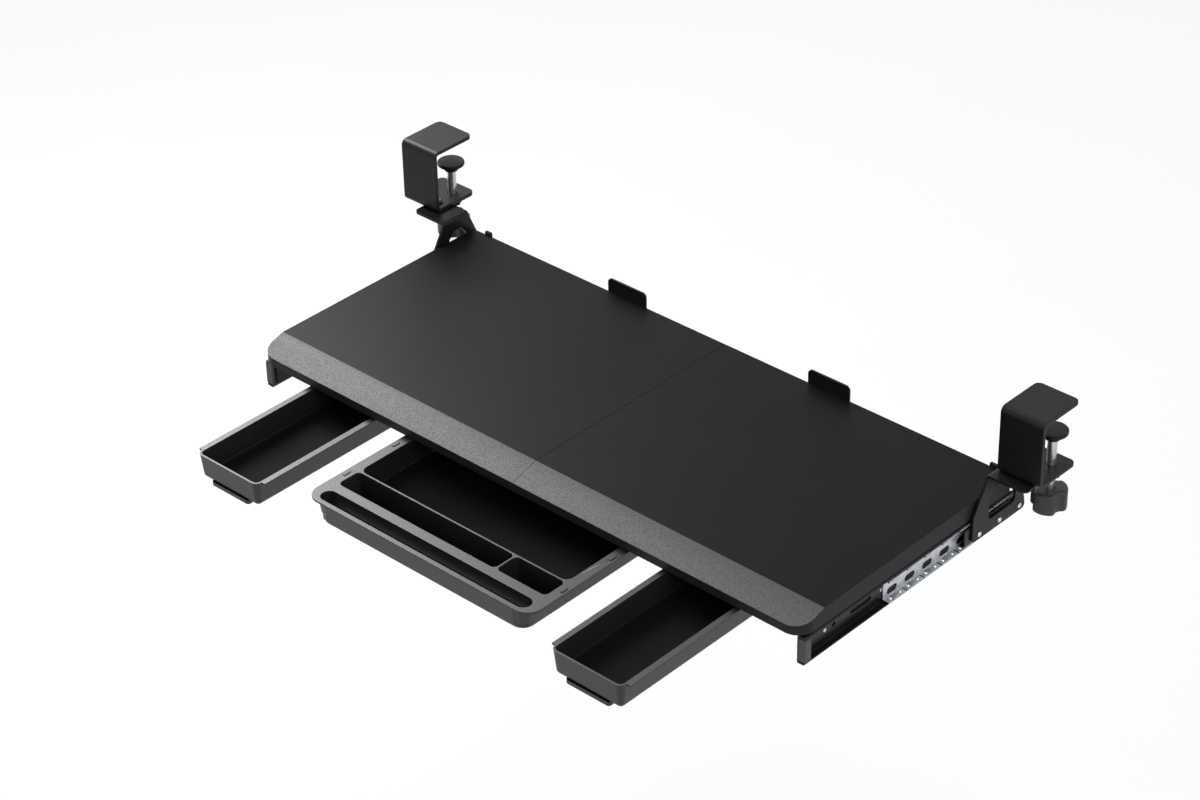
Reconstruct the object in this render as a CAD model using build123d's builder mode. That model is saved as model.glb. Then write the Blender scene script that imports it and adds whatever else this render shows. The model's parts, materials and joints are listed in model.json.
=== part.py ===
from build123d import *
import os
from math import radians, sin

# Keyboard tray that clamps to a desk's edge. X runs to the right, Y under the desk, Z up.
# The origin is the desk's top front edge, midway between the two clamps.

# Driving dimensions in millimetres
desk_thickness = 25.0
board_width = 680.0
board_depth = 296.0
board_thickness = 18.0
board_rear = 26.0
bevel_depth = 31.0
bevel_drop = 9.0
board_corner = 18.0
seam_gap = 0.4

# Clearances that all pieces share
overrun = 5.0
running_fit = 0.05
flat_gap = 0.3
hole_clearance = 0.3
half_share = 0.5

# Clamp
clamp_opening = 61.5
clamp_strip = 4.0
clamp_width = 47.0
clamp_bend = 6.0
clamp_corner = 6.0
clamp_shift = 8.0
jaw_reach = 51.0
screw_offset = 37.0
screw_reach = 34.0
screw_radius = 5.0
screw_tip_radius = 4.0
clamp_bolt_offset = 34.0
clamp_bolt_reach = 9.4
clamp_bolt_radius = 3.0
clamp_bolt_head_radius = 5.2
clamp_bolt_head_height = 3.2
clamp_bolt_socket_radius = 2.0
clamp_nut_across = 10.0
clamp_nut_height = 5.0
clamp_bolt_stickout = 1.5
weld_nut_across = 17.0
weld_nut_height = 8.0

# Pressure pad and knob of the clamp screw
pad_radius = 14.0
pad_thickness = 4.0
pad_edge_chamfer = 0.8
pad_collar_radius = 7.0
pad_collar_height = 6.0
knob_top_drop = 13.5
knob_height = 22.0
knob_radius = 17.0
knob_flute_radius = 7.0
knob_flute_distance = 20.0
knob_flute_angle = 345.0
knob_lobes = 3
knob_lobe_round = 4.0
knob_edge_round = 2.5
knob_floor = 4.0

# Bracket
bracket_sheet = 2.5
bracket_bend = 3.0
bracket_gap = 1.8
board_gap = 19.5
bracket_reach = 43.0
bracket_front = -34.0
bracket_depth = 79.0
bracket_height = 64.0
bracket_corner = 6.0
bracket_foot_round = 4.0
window_round = 5.0
bracket_outline_shares = (
    (0, 0),
    (1, 0),
    (0.98, 0.19),
    (0.7, 0.95),
    (0.7, 1),
    (0.25, 1),
    (0.25, 0.95),
    (0, 0.43),
)
window_outline_shares = ((0.29, 0.22), (0.80, 0.22), (0.80, 0.43), (0.68, 0.62), (0.29, 0.62))
bracket_rivet_shares = (0.13, 0.51, 0.89)
bracket_rivet_drop = 2.0

# Ball slide: its profile lies between the tray rail's web and the bracket
slide_width = 10.8
slide_sheet = 1.2
slide_gap = 0.5
slide_web_round = 1.6
ball_radius = 2.0
ball_side = 6.0
ball_height = 11.25
race_lip_angle = 30.0
rail_setback = 6.0
rail_overhang = 4.0
fixed_lead = 8.0
fixed_overhang = 16.0
cage_sheet = 0.8
cage_web_gap = 0.4
cage_edge_gap = 0.4
cage_bend = 1.2
cage_rear_setback = 2.8
cage_segments = 7
cage_stop_gap = 0.5
cage_slot_width = 1.6
cage_window_length = 12.5
cage_window_height = 5.5
cage_window_offset = 5.0
pocket_clearance = 0.1
stop_tab_length = 1.5
stop_tab_height = 6.0
stop_tab_reach = 3.8
stop_tab_gap = 0.5
bumper_length = 8.0
bumper_round = 1.5
bumper_stop_gap = 0.5
rail_rivet_first = 36.0
rail_rivet_last = 24.0
rail_rivet_count = 4
rail_hole_step = 12.0
rail_hole_radius = 2.5
rail_slot_step_share = 0.628
rail_slot_length_share = 0.372
rail_slot_height = 5.0
rivet_radius = 2.0
rivet_head_radius = 3.4
rivet_head_height = 1.2

# Angle that carries the tray rail under the board
angle_sheet = 1.5
angle_width = 20.0
angle_height = 27.0
angle_bend = 2.0
angle_margin = 4.0
screw_shank_radius = 2.0
screw_shank_length = 13.0
screw_head_radius = 4.0
screw_head_height = 2.2

# Joint of the board's halves
dowel_radius = 4.0
dowel_length = 40.0
dowel_reach_shares = (0.24, 0.5, 0.872)
plate_length = 90.0
plate_width = 28.0
plate_thickness = 2.5
plate_corner = 4.0
plate_reach_shares = (0.088, 0.73)
plate_screw_spacing = 32.0
plate_screw_step_shares = (0.4, 1)
plate_screw_radius = 1.75
plate_screw_head_radius = 3.5
plate_screw_length = 14.0

# Plates and buffers on the board's rear edge
stop_plate_side = 128.0
stop_plate_width = 50.0
stop_plate_rise = 15.0
stop_plate_thickness = 2.0
stop_plate_corner = 5.0
stop_plate_foot = 1.0
stop_screw_spacing = 30.0
stop_screw_drop = 9.0
buffer_inset = 20.0
buffer_width = 8.0
buffer_thickness = 4.0
buffer_height = 13.0
buffer_rise = 3.0
buffer_round = 1.5

# Drawers and the rails that carry them
drawer_gap = 1.5
drawer_rail_gap = 12.4
angle_rail_gap = 26.5
drawer_depth_share = 0.845
drawer_proud = 2.0
drawer_height = 26.5
drawer_wall = 2.0
drawer_flange = 2.0
drawer_draft = 6.0
side_drawer_flange = 4.0
side_drawer_pull = 145.0
side_drawer_corner = 7.0
side_drawer_foot_round = 5.0
finger_lip_share = 0.62
finger_lip_length = 13.0
finger_lip_setback = 1.5
finger_lip_drop = 3.0
finger_lip_corner = 3.0
centre_drawer_share = 0.39
centre_drawer_flange = 9.0
centre_drawer_pull = 125.0
centre_drawer_corner = 16.0
centre_body_setback = 2.0
centre_drawer_foot_round = 5.0
pen_slot_width = 16.0
pen_slot_depth = 14.5
pen_slot_front_band = 5.0
bay_front_band = 11.0
bay_length = 26.0
bay_divider_share = 0.264
bay_corner = 5.0
compartment_corner = 8.0
detent_length = 9.0
detent_width = 3.6
detent_rise = 0.8
core_margin = 12.6
core_length = 19.0
pocket_draft = 3.0
detent_reaches = (49.0, 112.0)
rail_sheet = 1.2
rail_top_flange = 12.0
rail_lip_gap = 0.6
rail_bend = 0.8
rail_screw_margin = 19.0

# Levels and sides that follow from the sizes above
lower_jaw_top = -clamp_opening
bracket_top = lower_jaw_top - clamp_strip
board_top = bracket_top - bracket_sheet - board_gap
board_bottom = board_top - board_thickness
board_front = board_rear - board_depth
bracket_inner = board_width / 2 + bracket_gap
slide_inner = bracket_inner - slide_width
screw_side = board_width / 2 + screw_offset
clamp_bolt_side = board_width / 2 + clamp_bolt_offset
buffer_side = board_width / 2 - buffer_inset
race_radius = ball_radius + running_fit
slide_half_height = ball_height + race_radius + slide_sheet
slide_level = board_bottom - angle_sheet - slide_gap - slide_half_height
rail_front = board_front + rail_setback
rail_rear = board_rear + rail_overhang
rail_length = rail_rear - rail_front
fixed_front = bracket_front - fixed_lead
fixed_length = rail_rear + fixed_overhang - fixed_front
first_rivet = rail_front + rail_rivet_first
rail_rivet_pitch = (rail_length - rail_rivet_first - rail_rivet_last) / (rail_rivet_count - 1)
rail_slot_step = rail_rivet_pitch * rail_slot_step_share
rail_slot_length = rail_rivet_pitch * rail_slot_length_share
dowel_reaches = [board_rear - board_depth * share for share in dowel_reach_shares]
plate_reaches = [board_rear - board_depth * share for share in plate_reach_shares]
rail_rivet_reaches = [first_rivet + rail_rivet_pitch * step for step in range(rail_rivet_count)]
cage_web = slide_sheet + cage_web_gap
cage_edge = slide_width - slide_sheet - cage_edge_gap
cage_half_height = ball_height + cage_sheet / 2
cage_slot_length = cage_edge - cage_web - cage_sheet - cage_bend
fixed_tab_reach = slide_width - slide_sheet / 2 - cage_web - cage_sheet - stop_tab_gap
tray_travel = fixed_front - rail_front - bumper_length - bumper_stop_gap
cage_rear = rail_rear - cage_rear_setback
cage_front = rail_front + bumper_length + tray_travel / 2 + cage_stop_gap
cage_length = cage_rear - cage_front
cage_pitch = cage_length / cage_segments
rail_clearance = flat_gap + rail_sheet
centre_drawer_width = board_width * centre_drawer_share
centre_web = centre_drawer_width / 2 + centre_drawer_flange + rail_clearance
inner_web = centre_web + drawer_rail_gap + rail_top_flange * 2
outer_web = slide_inner - angle_width - angle_rail_gap - rail_top_flange
side_drawer_middle = (inner_web + outer_web) / 2
side_drawer_width = outer_web - inner_web - 2 * (side_drawer_flange + rail_clearance)
side_flange_middle = side_drawer_width / 2 + side_drawer_flange / 2 - drawer_wall / 4
drawer_rim = board_bottom - drawer_gap
drawer_depth = board_depth * drawer_depth_share
closed_front = board_front - drawer_proud
side_drawer_front = closed_front - side_drawer_pull
centre_drawer_front = closed_front - centre_drawer_pull
drawer_rail_rear = closed_front + drawer_depth + flat_gap + rail_sheet
rail_screw_reaches = (rail_front + rail_screw_margin, drawer_rail_rear - rail_screw_margin)
screw_foot = -desk_thickness - pad_thickness

os.makedirs("parts", exist_ok=True)


def save(piece, name):
    """Label a finished sub-part and write its file."""
    piece.part.label = name
    export_step(piece.part, f"parts/{name}.step")


def save_pair(piece, name):
    """Write a right-hand piece and its mirror image across the middle."""
    save(piece, f"{name}_right")
    with BuildPart() as twin:
        mirror(piece.part, about=Plane.YZ)
    save(twin, f"{name}_left")


def shared_points(shares, depth, height):
    """Outline points from shares of a piece's own depth and height."""
    return [(depth * across, height * up) for across, up in shares]


# Clamps: one strip bent to a C, the same way round on both sides
def make_clamp(side):
    middle = side * screw_side - clamp_shift
    with BuildPart() as clamp:
        with BuildSketch(Plane.YZ.offset(middle - clamp_width / 2)):
            with BuildLine():
                FilletPolyline(
                    (jaw_reach, clamp_strip),
                    (-clamp_strip, clamp_strip),
                    (-clamp_strip, bracket_top),
                    (jaw_reach, bracket_top),
                    radius=clamp_bend,
                )
                offset(amount=clamp_strip, side=Side.LEFT)
            make_face()
        extrude(amount=clamp_width)
        fillet(clamp.edges().filter_by(Axis.Z).group_by(Axis.Y)[-1], radius=clamp_corner)
        with Locations((side * screw_side, screw_reach, lower_jaw_top)):
            Hole(radius=screw_radius + hole_clearance, depth=clamp_strip)
        with Locations((side * clamp_bolt_side, clamp_bolt_reach, lower_jaw_top)):
            Hole(radius=clamp_bolt_radius + hole_clearance, depth=clamp_strip)
    return clamp


save(make_clamp(1), "clamp_right")
save(make_clamp(-1), "clamp_left")

# Bolts with round heads that hold the brackets under the clamps
bolt_grip = clamp_strip + bracket_sheet
bolt_places = [(side * clamp_bolt_side, clamp_bolt_reach) for side in (-1, 1)]
with BuildPart() as clamp_bolts:
    with BuildSketch(Plane.XY.offset(lower_jaw_top)):
        with Locations(*bolt_places):
            Circle(clamp_bolt_head_radius)
    extrude(amount=clamp_bolt_head_height)
    fillet(
        clamp_bolts.edges().filter_by(GeomType.CIRCLE).group_by(Axis.Z)[-1],
        radius=clamp_bolt_head_height / 2,
    )
    with BuildSketch(Plane.XY.offset(lower_jaw_top)):
        with Locations(*bolt_places):
            Circle(clamp_bolt_radius)
    extrude(amount=-(bolt_grip + clamp_nut_height + clamp_bolt_stickout))
    with BuildSketch(Plane.XY.offset(lower_jaw_top + clamp_bolt_head_height / 2)):
        with Locations(*bolt_places):
            RegularPolygon(clamp_bolt_socket_radius, 6)
    extrude(amount=clamp_bolt_head_height, mode=Mode.SUBTRACT)
save(clamp_bolts, "clamp_bolts")

with BuildPart() as clamp_nuts:
    with BuildSketch(Plane.XY.offset(bracket_top - bracket_sheet)):
        with Locations(*bolt_places):
            RegularPolygon(clamp_nut_across / 2, 6, major_radius=False)
            Circle(clamp_bolt_radius + running_fit, mode=Mode.SUBTRACT)
    extrude(amount=-clamp_nut_height)
save(clamp_nuts, "clamp_nuts")

# Nuts welded under the lower jaws, in which the clamp screws turn
with BuildPart() as weld_nuts:
    with BuildSketch(Plane.XY.offset(bracket_top)):
        with Locations((-screw_side, screw_reach), (screw_side, screw_reach)):
            RegularPolygon(weld_nut_across / 2, 6, major_radius=False)
            Circle(screw_radius + running_fit, mode=Mode.SUBTRACT)
    extrude(amount=-weld_nut_height)
save(weld_nuts, "weld_nuts")

# Pressure pads: a disc with a collar below that turns on the screw's tip
with BuildPart() as pad:
    with BuildSketch(Plane.XY.offset(-desk_thickness)):
        with Locations((screw_side, screw_reach)):
            Circle(pad_radius)
    extrude(amount=-pad_thickness)
    chamfer(pad.edges().filter_by(GeomType.CIRCLE), length=pad_edge_chamfer)
    with BuildSketch(Plane.XY.offset(screw_foot)):
        with Locations((screw_side, screw_reach)):
            Circle(pad_collar_radius)
            Circle(screw_tip_radius + running_fit, mode=Mode.SUBTRACT)
    extrude(amount=-pad_collar_height)
save_pair(pad, "pad")

# Clamp screws, turned down at the tip that carries the pad
screw_shoulder = screw_foot - flat_gap - pad_collar_height
knob_top = bracket_top - weld_nut_height - knob_top_drop
screw_end = knob_top - knob_height + knob_floor
with BuildPart() as clamp_screw:
    with BuildSketch(Plane.XY.offset(screw_shoulder)):
        with Locations((screw_side, screw_reach)):
            Circle(screw_tip_radius)
    extrude(amount=pad_collar_height)
    with BuildSketch(Plane.XY.offset(screw_shoulder)):
        with Locations((screw_side, screw_reach)):
            Circle(screw_radius)
    extrude(amount=screw_end - screw_shoulder)
save_pair(clamp_screw, "clamp_screw")

# Knobs with three lobes, blind over the screw's lower end
with BuildPart() as knob:
    with BuildSketch(Plane.XY.offset(knob_top)) as knob_plan:
        with Locations((screw_side, screw_reach)):
            Circle(knob_radius)
            with PolarLocations(knob_flute_distance, knob_lobes, start_angle=knob_flute_angle):
                Circle(knob_flute_radius, mode=Mode.SUBTRACT)
        fillet(knob_plan.vertices(), radius=knob_lobe_round)
    extrude(amount=-knob_height)
    fillet(knob.edges().group_by(Axis.Z)[-1], radius=knob_edge_round)
    fillet(knob.edges().group_by(Axis.Z)[0], radius=knob_edge_round)
    with Locations((screw_side, screw_reach, knob_top)):
        Hole(radius=screw_radius, depth=knob_top - screw_end)
save_pair(knob, "knob")

# Brackets: a folded sheet with slanted sides and a rounded window
bracket_foot = bracket_top - bracket_height
rivet_level = slide_level - bracket_rivet_drop
bracket_rivets = [
    (bracket_front + bracket_depth * share, rivet_level) for share in bracket_rivet_shares
]
with BuildPart() as bracket:
    with BuildSketch(Plane.XZ.offset(-bracket_front - bracket_depth)):
        with BuildLine():
            FilletPolyline(
                (bracket_inner, bracket_foot),
                (bracket_inner, bracket_top),
                (bracket_inner + bracket_reach, bracket_top),
                radius=bracket_bend,
            )
            offset(amount=bracket_sheet, side=Side.RIGHT)
        make_face()
    extrude(amount=bracket_depth)
    with BuildSketch(Plane.YZ.offset(bracket_inner)) as outline:
        with Locations((bracket_front, bracket_foot)):
            Polygon(*shared_points(bracket_outline_shares, bracket_depth, bracket_height), align=None)
        fillet(outline.vertices().group_by(Axis.Y)[0], radius=bracket_foot_round)
    extrude(amount=bracket_reach + overrun, mode=Mode.INTERSECT)
    fillet(bracket.edges().filter_by(Axis.Z).group_by(Axis.X)[-1], radius=bracket_corner)
    with BuildSketch(Plane.YZ.offset(bracket_inner)) as window:
        with Locations((bracket_front, bracket_foot)):
            Polygon(*shared_points(window_outline_shares, bracket_depth, bracket_height), align=None)
        fillet(window.vertices(), radius=window_round)
        with Locations(*bracket_rivets):
            Circle(rivet_radius)
    extrude(amount=bracket_sheet, mode=Mode.SUBTRACT)
    with Locations((clamp_bolt_side, clamp_bolt_reach, bracket_top)):
        Hole(radius=clamp_bolt_radius + hole_clearance, depth=bracket_sheet)
save_pair(bracket, "bracket")


# Ball slides: nested rolled profiles, with a pocketed cage and its balls between their races
def slide_plane(reach):
    """Plane across the right slide, its origin on the tray rail's web at mid-height."""
    return Plane(origin=(slide_inner, reach, slide_level), x_dir=(1, 0, 0), z_dir=(0, -1, 0))


with BuildPart() as fixed_slide:
    with BuildSketch(slide_plane(fixed_front + fixed_length)):
        with BuildLine():
            CenterArc((ball_side, -ball_height), race_radius, 180 - race_lip_angle, race_lip_angle - 90)
            FilletPolyline(
                (ball_side, race_radius - ball_height),
                (slide_width, race_radius - ball_height),
                (slide_width, ball_height - race_radius),
                (ball_side, ball_height - race_radius),
                radius=slide_web_round,
            )
            CenterArc((ball_side, ball_height), race_radius, 270, race_lip_angle - 90)
            offset(amount=slide_sheet, side=Side.LEFT)
        make_face()
    extrude(amount=fixed_length)
    with BuildSketch(Plane.YZ.offset(bracket_inner)):
        with Locations(*bracket_rivets):
            Circle(rivet_radius)
    extrude(amount=-slide_sheet, mode=Mode.SUBTRACT)
    with BuildSketch(slide_plane(rail_rear - stop_tab_length - flat_gap)):
        with Locations((slide_width - slide_sheet / 2, 0)):
            Rectangle(fixed_tab_reach, stop_tab_height, align=(Align.MAX, Align.CENTER))
    extrude(amount=stop_tab_length)
save_pair(fixed_slide, "fixed_slide")

with BuildPart() as tray_slide:
    with BuildSketch(slide_plane(rail_rear)):
        outer_race = race_radius + slide_sheet
        with BuildLine():
            CenterArc((ball_side, -ball_height), outer_race, -race_lip_angle, race_lip_angle - 90)
            FilletPolyline(
                (ball_side, -slide_half_height),
                (0, -slide_half_height),
                (0, slide_half_height),
                (ball_side, slide_half_height),
                radius=slide_web_round,
            )
            CenterArc((ball_side, ball_height), outer_race, 90, race_lip_angle - 90)
            offset(amount=slide_sheet, side=Side.RIGHT)
        make_face()
    extrude(amount=rail_length)
    with BuildSketch(slide_plane(rail_rear)):
        with Locations((slide_sheet / 2, 0)):
            Rectangle(
                stop_tab_reach + slide_sheet / 2,
                stop_tab_height,
                align=(Align.MIN, Align.CENTER),
            )
    extrude(amount=stop_tab_length)
    with BuildSketch(Plane.YZ.offset(slide_inner)):
        with Locations(*[(reach, slide_level) for reach in rail_rivet_reaches]):
            Circle(rivet_radius)
        with Locations(*[(reach + rail_hole_step, slide_level) for reach in rail_rivet_reaches[:-1]]):
            Circle(rail_hole_radius)
        with Locations(*[(reach + rail_slot_step, slide_level) for reach in rail_rivet_reaches[:-1]]):
            SlotOverall(rail_slot_length, rail_slot_height)
    extrude(amount=slide_sheet, mode=Mode.SUBTRACT)
save_pair(tray_slide, "tray_slide")

# Ball cages, with oval windows, open slots between segments and a pocket for each ball
segment_reaches = [cage_rear - cage_pitch * (index + half_share) for index in range(cage_segments)]
slot_reaches = [reach + cage_pitch / 2 for reach in segment_reaches[1:]]
with BuildPart() as ball_cage:
    with BuildSketch(slide_plane(cage_rear)):
        with BuildLine():
            FilletPolyline(
                (cage_edge, -cage_half_height),
                (cage_web, -cage_half_height),
                (cage_web, cage_half_height),
                (cage_edge, cage_half_height),
                radius=cage_bend,
            )
            offset(amount=cage_sheet, side=Side.RIGHT)
        make_face()
    extrude(amount=cage_length)
    with BuildSketch(Plane.YZ.offset(slide_inner + cage_web)):
        for level in (slide_level - cage_window_offset, slide_level + cage_window_offset):
            with Locations(*[(middle, level) for middle in segment_reaches]):
                SlotOverall(cage_window_length, cage_window_height)
    extrude(amount=cage_sheet, mode=Mode.SUBTRACT)
    with BuildSketch(Plane.XY.offset(slide_level)):
        with Locations(*[(slide_inner + cage_edge, reach) for reach in slot_reaches]):
            Rectangle(cage_slot_length * 2, cage_slot_width)
        with Locations(*[(slide_inner + ball_side, reach) for reach in segment_reaches]):
            Circle(ball_radius + pocket_clearance)
    extrude(amount=slide_half_height, both=True, mode=Mode.SUBTRACT)
save_pair(ball_cage, "ball_cage")

with BuildPart() as balls:
    for level in (slide_level - ball_height, slide_level + ball_height):
        with Locations(*[(slide_inner + ball_side, reach, level) for reach in segment_reaches]):
            Sphere(ball_radius)
save_pair(balls, "balls")

# End caps that stop the rails against the fixed members
bumper_side = ball_height + race_radius * sin(radians(race_lip_angle)) - flat_gap
with BuildPart() as end_cap:
    with BuildSketch(slide_plane(rail_front + bumper_length)) as cap_face:
        with Locations((slide_sheet, 0)):
            Rectangle(cage_edge - slide_sheet, bumper_side * 2, align=(Align.MIN, Align.CENTER))
        fillet(cap_face.vertices(), radius=bumper_round)
    extrude(amount=bumper_length)
save_pair(end_cap, "end_cap")

# Rivets, flush inside the slides, with round heads outside
with BuildPart() as slide_rivets:
    with BuildSketch(Plane.YZ.offset(bracket_inner + bracket_sheet)):
        with Locations(*bracket_rivets):
            Circle(rivet_head_radius)
    extrude(amount=rivet_head_height)
    chamfer(slide_rivets.edges().group_by(Axis.X)[-1], length=rivet_head_height / 2)
    with BuildSketch(Plane.YZ.offset(bracket_inner - slide_sheet)):
        with Locations(*bracket_rivets):
            Circle(rivet_radius)
    extrude(amount=slide_sheet + bracket_sheet)
save_pair(slide_rivets, "slide_rivets")

with BuildPart() as angle_rivets:
    with BuildSketch(Plane.YZ.offset(slide_inner - angle_sheet)):
        with Locations(*[(reach, slide_level) for reach in rail_rivet_reaches]):
            Circle(rivet_head_radius)
    extrude(amount=-rivet_head_height)
    with BuildSketch(Plane.YZ.offset(slide_inner - angle_sheet)):
        with Locations(*[(reach, slide_level) for reach in rail_rivet_reaches]):
            Circle(rivet_radius)
    extrude(amount=angle_sheet + slide_sheet)
save_pair(angle_rivets, "angle_rivets")

# Angles between the tray rails and the board
angle_screw_side = slide_inner - angle_width / 2
angle_screw_places = [(angle_screw_side, reach + rail_hole_step) for reach in rail_rivet_reaches]
with BuildPart() as rail_angle:
    with BuildSketch(Plane.XZ.offset(angle_margin - rail_rear)):
        with BuildLine():
            FilletPolyline(
                (slide_inner, board_bottom - angle_height),
                (slide_inner, board_bottom),
                (slide_inner - angle_width, board_bottom),
                radius=angle_bend,
            )
            offset(amount=angle_sheet, side=Side.LEFT)
        make_face()
    extrude(amount=rail_length - angle_margin * 2)
    with BuildSketch(Plane.YZ.offset(slide_inner)):
        with Locations(*[(reach, slide_level) for reach in rail_rivet_reaches]):
            Circle(rivet_radius)
    extrude(amount=-angle_sheet, mode=Mode.SUBTRACT)
    with BuildSketch(Plane.XY.offset(board_bottom)):
        with Locations(*angle_screw_places):
            Circle(screw_shank_radius)
    extrude(amount=-angle_sheet, mode=Mode.SUBTRACT)
save_pair(rail_angle, "rail_angle")


def screws_up(places, sheet):
    """Screws driven up into the board through a sheet that lies under it."""
    with BuildPart() as screws:
        with BuildSketch(Plane.XY.offset(board_bottom - sheet)):
            with Locations(*places):
                Circle(screw_head_radius)
        extrude(amount=-screw_head_height)
        with BuildSketch(Plane.XY.offset(board_bottom - sheet)):
            with Locations(*places):
                Circle(screw_shank_radius)
        extrude(amount=screw_shank_length)
    return screws


save_pair(screws_up(angle_screw_places, angle_sheet), "angle_screws")

# Board halves with a bevelled front edge
rail_screw_step = rail_top_flange / 2
rail_screw_sides = (
    outer_web + rail_screw_step,
    inner_web - rail_screw_step,
    centre_web + rail_screw_step,
)
rail_screw_places = [(side, reach) for side in rail_screw_sides for reach in rail_screw_reaches]
plate_screw_places = [
    (plate_screw_spacing * step, reach) for step in plate_screw_step_shares for reach in plate_reaches
]
stop_screw_level = board_top - stop_screw_drop
stop_screw_places = [
    (stop_plate_side - stop_screw_spacing / 2, stop_screw_level),
    (stop_plate_side + stop_screw_spacing / 2, stop_screw_level),
]
with BuildPart() as board:
    with BuildSketch(Plane.YZ.offset(seam_gap / 2)):
        with BuildLine():
            Polyline(
                (board_rear, board_top),
                (board_front + bevel_depth, board_top),
                (board_front, board_top - bevel_drop),
                (board_front, board_bottom),
                (board_rear, board_bottom),
                close=True,
            )
        make_face()
    extrude(amount=board_width / 2)
    with BuildSketch(Plane.XY.offset(board_bottom)) as plan:
        with Locations((0, board_front)):
            Rectangle(board_width / 2, board_depth, align=(Align.MIN, Align.MIN))
        fillet(plan.vertices().group_by(Axis.Y)[0].sort_by(Axis.X)[-1], radius=board_corner)
    extrude(amount=board_thickness, mode=Mode.INTERSECT)
    with BuildSketch(Plane.XY.offset(board_bottom)):
        with Locations(*angle_screw_places, *rail_screw_places):
            Circle(screw_shank_radius)
    extrude(amount=screw_shank_length, mode=Mode.SUBTRACT)
    with BuildSketch(Plane.XY.offset(board_bottom)):
        with Locations(*[(0, reach) for reach in plate_reaches]):
            RectangleRounded(plate_length, plate_width, plate_corner)
    extrude(amount=plate_thickness, mode=Mode.SUBTRACT)
    with BuildSketch(Plane.XY.offset(board_bottom)):
        with Locations(*plate_screw_places):
            Circle(plate_screw_radius)
    extrude(amount=plate_screw_length, mode=Mode.SUBTRACT)
    with BuildSketch(Plane.YZ):
        with Locations(*[(reach, board_bottom + board_thickness / 2) for reach in dowel_reaches]):
            Circle(dowel_radius)
    extrude(amount=dowel_length / 2, mode=Mode.SUBTRACT)
    with BuildSketch(Plane.XZ.offset(-board_rear)):
        with Locations(*stop_screw_places):
            Circle(screw_shank_radius)
    extrude(amount=screw_shank_length, mode=Mode.SUBTRACT)
save_pair(board, "board")

save_pair(screws_up(rail_screw_places, rail_sheet), "rail_screws")

# Dowels, and plates let in flush across the seam under the board
with BuildPart() as dowels:
    with BuildSketch(Plane.YZ.offset(-dowel_length / 2)):
        with Locations(*[(reach, board_bottom + board_thickness / 2) for reach in dowel_reaches]):
            Circle(dowel_radius)
    extrude(amount=dowel_length)
save(dowels, "dowels")

both_screw_places = plate_screw_places + [(-side, reach) for side, reach in plate_screw_places]
with BuildPart() as joining_plates:
    with BuildSketch(Plane.XY.offset(board_bottom)):
        with Locations(*[(0, reach) for reach in plate_reaches]):
            RectangleRounded(plate_length, plate_width, plate_corner)
        with Locations(*both_screw_places):
            Circle(plate_screw_head_radius, mode=Mode.SUBTRACT)
    extrude(amount=plate_thickness)
save(joining_plates, "joining_plates")

with BuildPart() as joining_screws:
    with BuildSketch(Plane.XY.offset(board_bottom)):
        with Locations(*both_screw_places):
            Circle(plate_screw_head_radius)
    extrude(amount=plate_thickness)
    with BuildSketch(Plane.XY.offset(board_bottom)):
        with Locations(*both_screw_places):
            Circle(plate_screw_radius)
    extrude(amount=plate_screw_length)
save(joining_screws, "joining_screws")

# Upright plates that keep things from sliding off the rear edge, with two screws each
stop_plate_height = stop_plate_rise + board_thickness - stop_plate_foot
stop_plate_middle = board_bottom + stop_plate_foot + stop_plate_height / 2
with BuildPart() as stop_plate:
    with BuildSketch(Plane.XZ.offset(-board_rear)):
        with Locations((stop_plate_side, stop_plate_middle)):
            RectangleRounded(stop_plate_width, stop_plate_height, stop_plate_corner)
        with Locations(*stop_screw_places):
            Circle(screw_shank_radius, mode=Mode.SUBTRACT)
    extrude(amount=-stop_plate_thickness)
save_pair(stop_plate, "stop_plate")

with BuildPart() as stop_screws:
    with BuildSketch(Plane.XZ.offset(-board_rear - stop_plate_thickness)):
        with Locations(*stop_screw_places):
            Circle(screw_head_radius)
    extrude(amount=-screw_head_height)
    with BuildSketch(Plane.XZ.offset(-board_rear - stop_plate_thickness)):
        with Locations(*stop_screw_places):
            Circle(screw_shank_radius)
    extrude(amount=screw_shank_length)
save_pair(stop_screws, "stop_screws")

# Rubber buffers on the rear edge
with BuildPart() as buffer:
    with BuildSketch(Plane.XZ.offset(-board_rear)):
        with Locations((buffer_side, board_top + buffer_rise)):
            Rectangle(buffer_width, buffer_height, align=(Align.CENTER, Align.MAX))
    extrude(amount=-buffer_thickness)
    fillet(buffer.edges().group_by(Axis.Y)[-1], radius=buffer_round)
save_pair(buffer, "buffer")


# Rails under the board that carry the drawers' flanges, with a stop at the rear
def make_drawer_rail(body_side, web_side):
    lip_side = body_side + rail_lip_gap
    lip_foot = drawer_rim - drawer_flange - flat_gap - rail_sheet
    with BuildPart() as rail:
        with BuildSketch(Plane.XZ.offset(-drawer_rail_rear)):
            with BuildLine():
                FilletPolyline(
                    (lip_side, lip_foot),
                    (web_side, lip_foot),
                    (web_side, board_bottom - rail_sheet),
                    (web_side + rail_top_flange, board_bottom - rail_sheet),
                    radius=[rail_bend + rail_sheet, rail_bend],
                )
                offset(amount=rail_sheet, side=Side.LEFT)
            make_face()
        extrude(amount=drawer_rail_rear - rail_front)
        with BuildSketch(Plane.XZ.offset(-drawer_rail_rear)):
            with Locations((lip_side, lip_foot + rail_sheet / 2)):
                Rectangle(
                    web_side - lip_side - rail_sheet / 2,
                    board_bottom - rail_sheet - lip_foot,
                    align=(Align.MIN, Align.MIN),
                )
        extrude(amount=rail_sheet)
        with BuildSketch(Plane.XY.offset(board_bottom)):
            with Locations(*[(web_side + rail_top_flange / 2, reach) for reach in rail_screw_reaches]):
                Circle(screw_shank_radius)
        extrude(amount=-rail_sheet, mode=Mode.SUBTRACT)
    return rail


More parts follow.
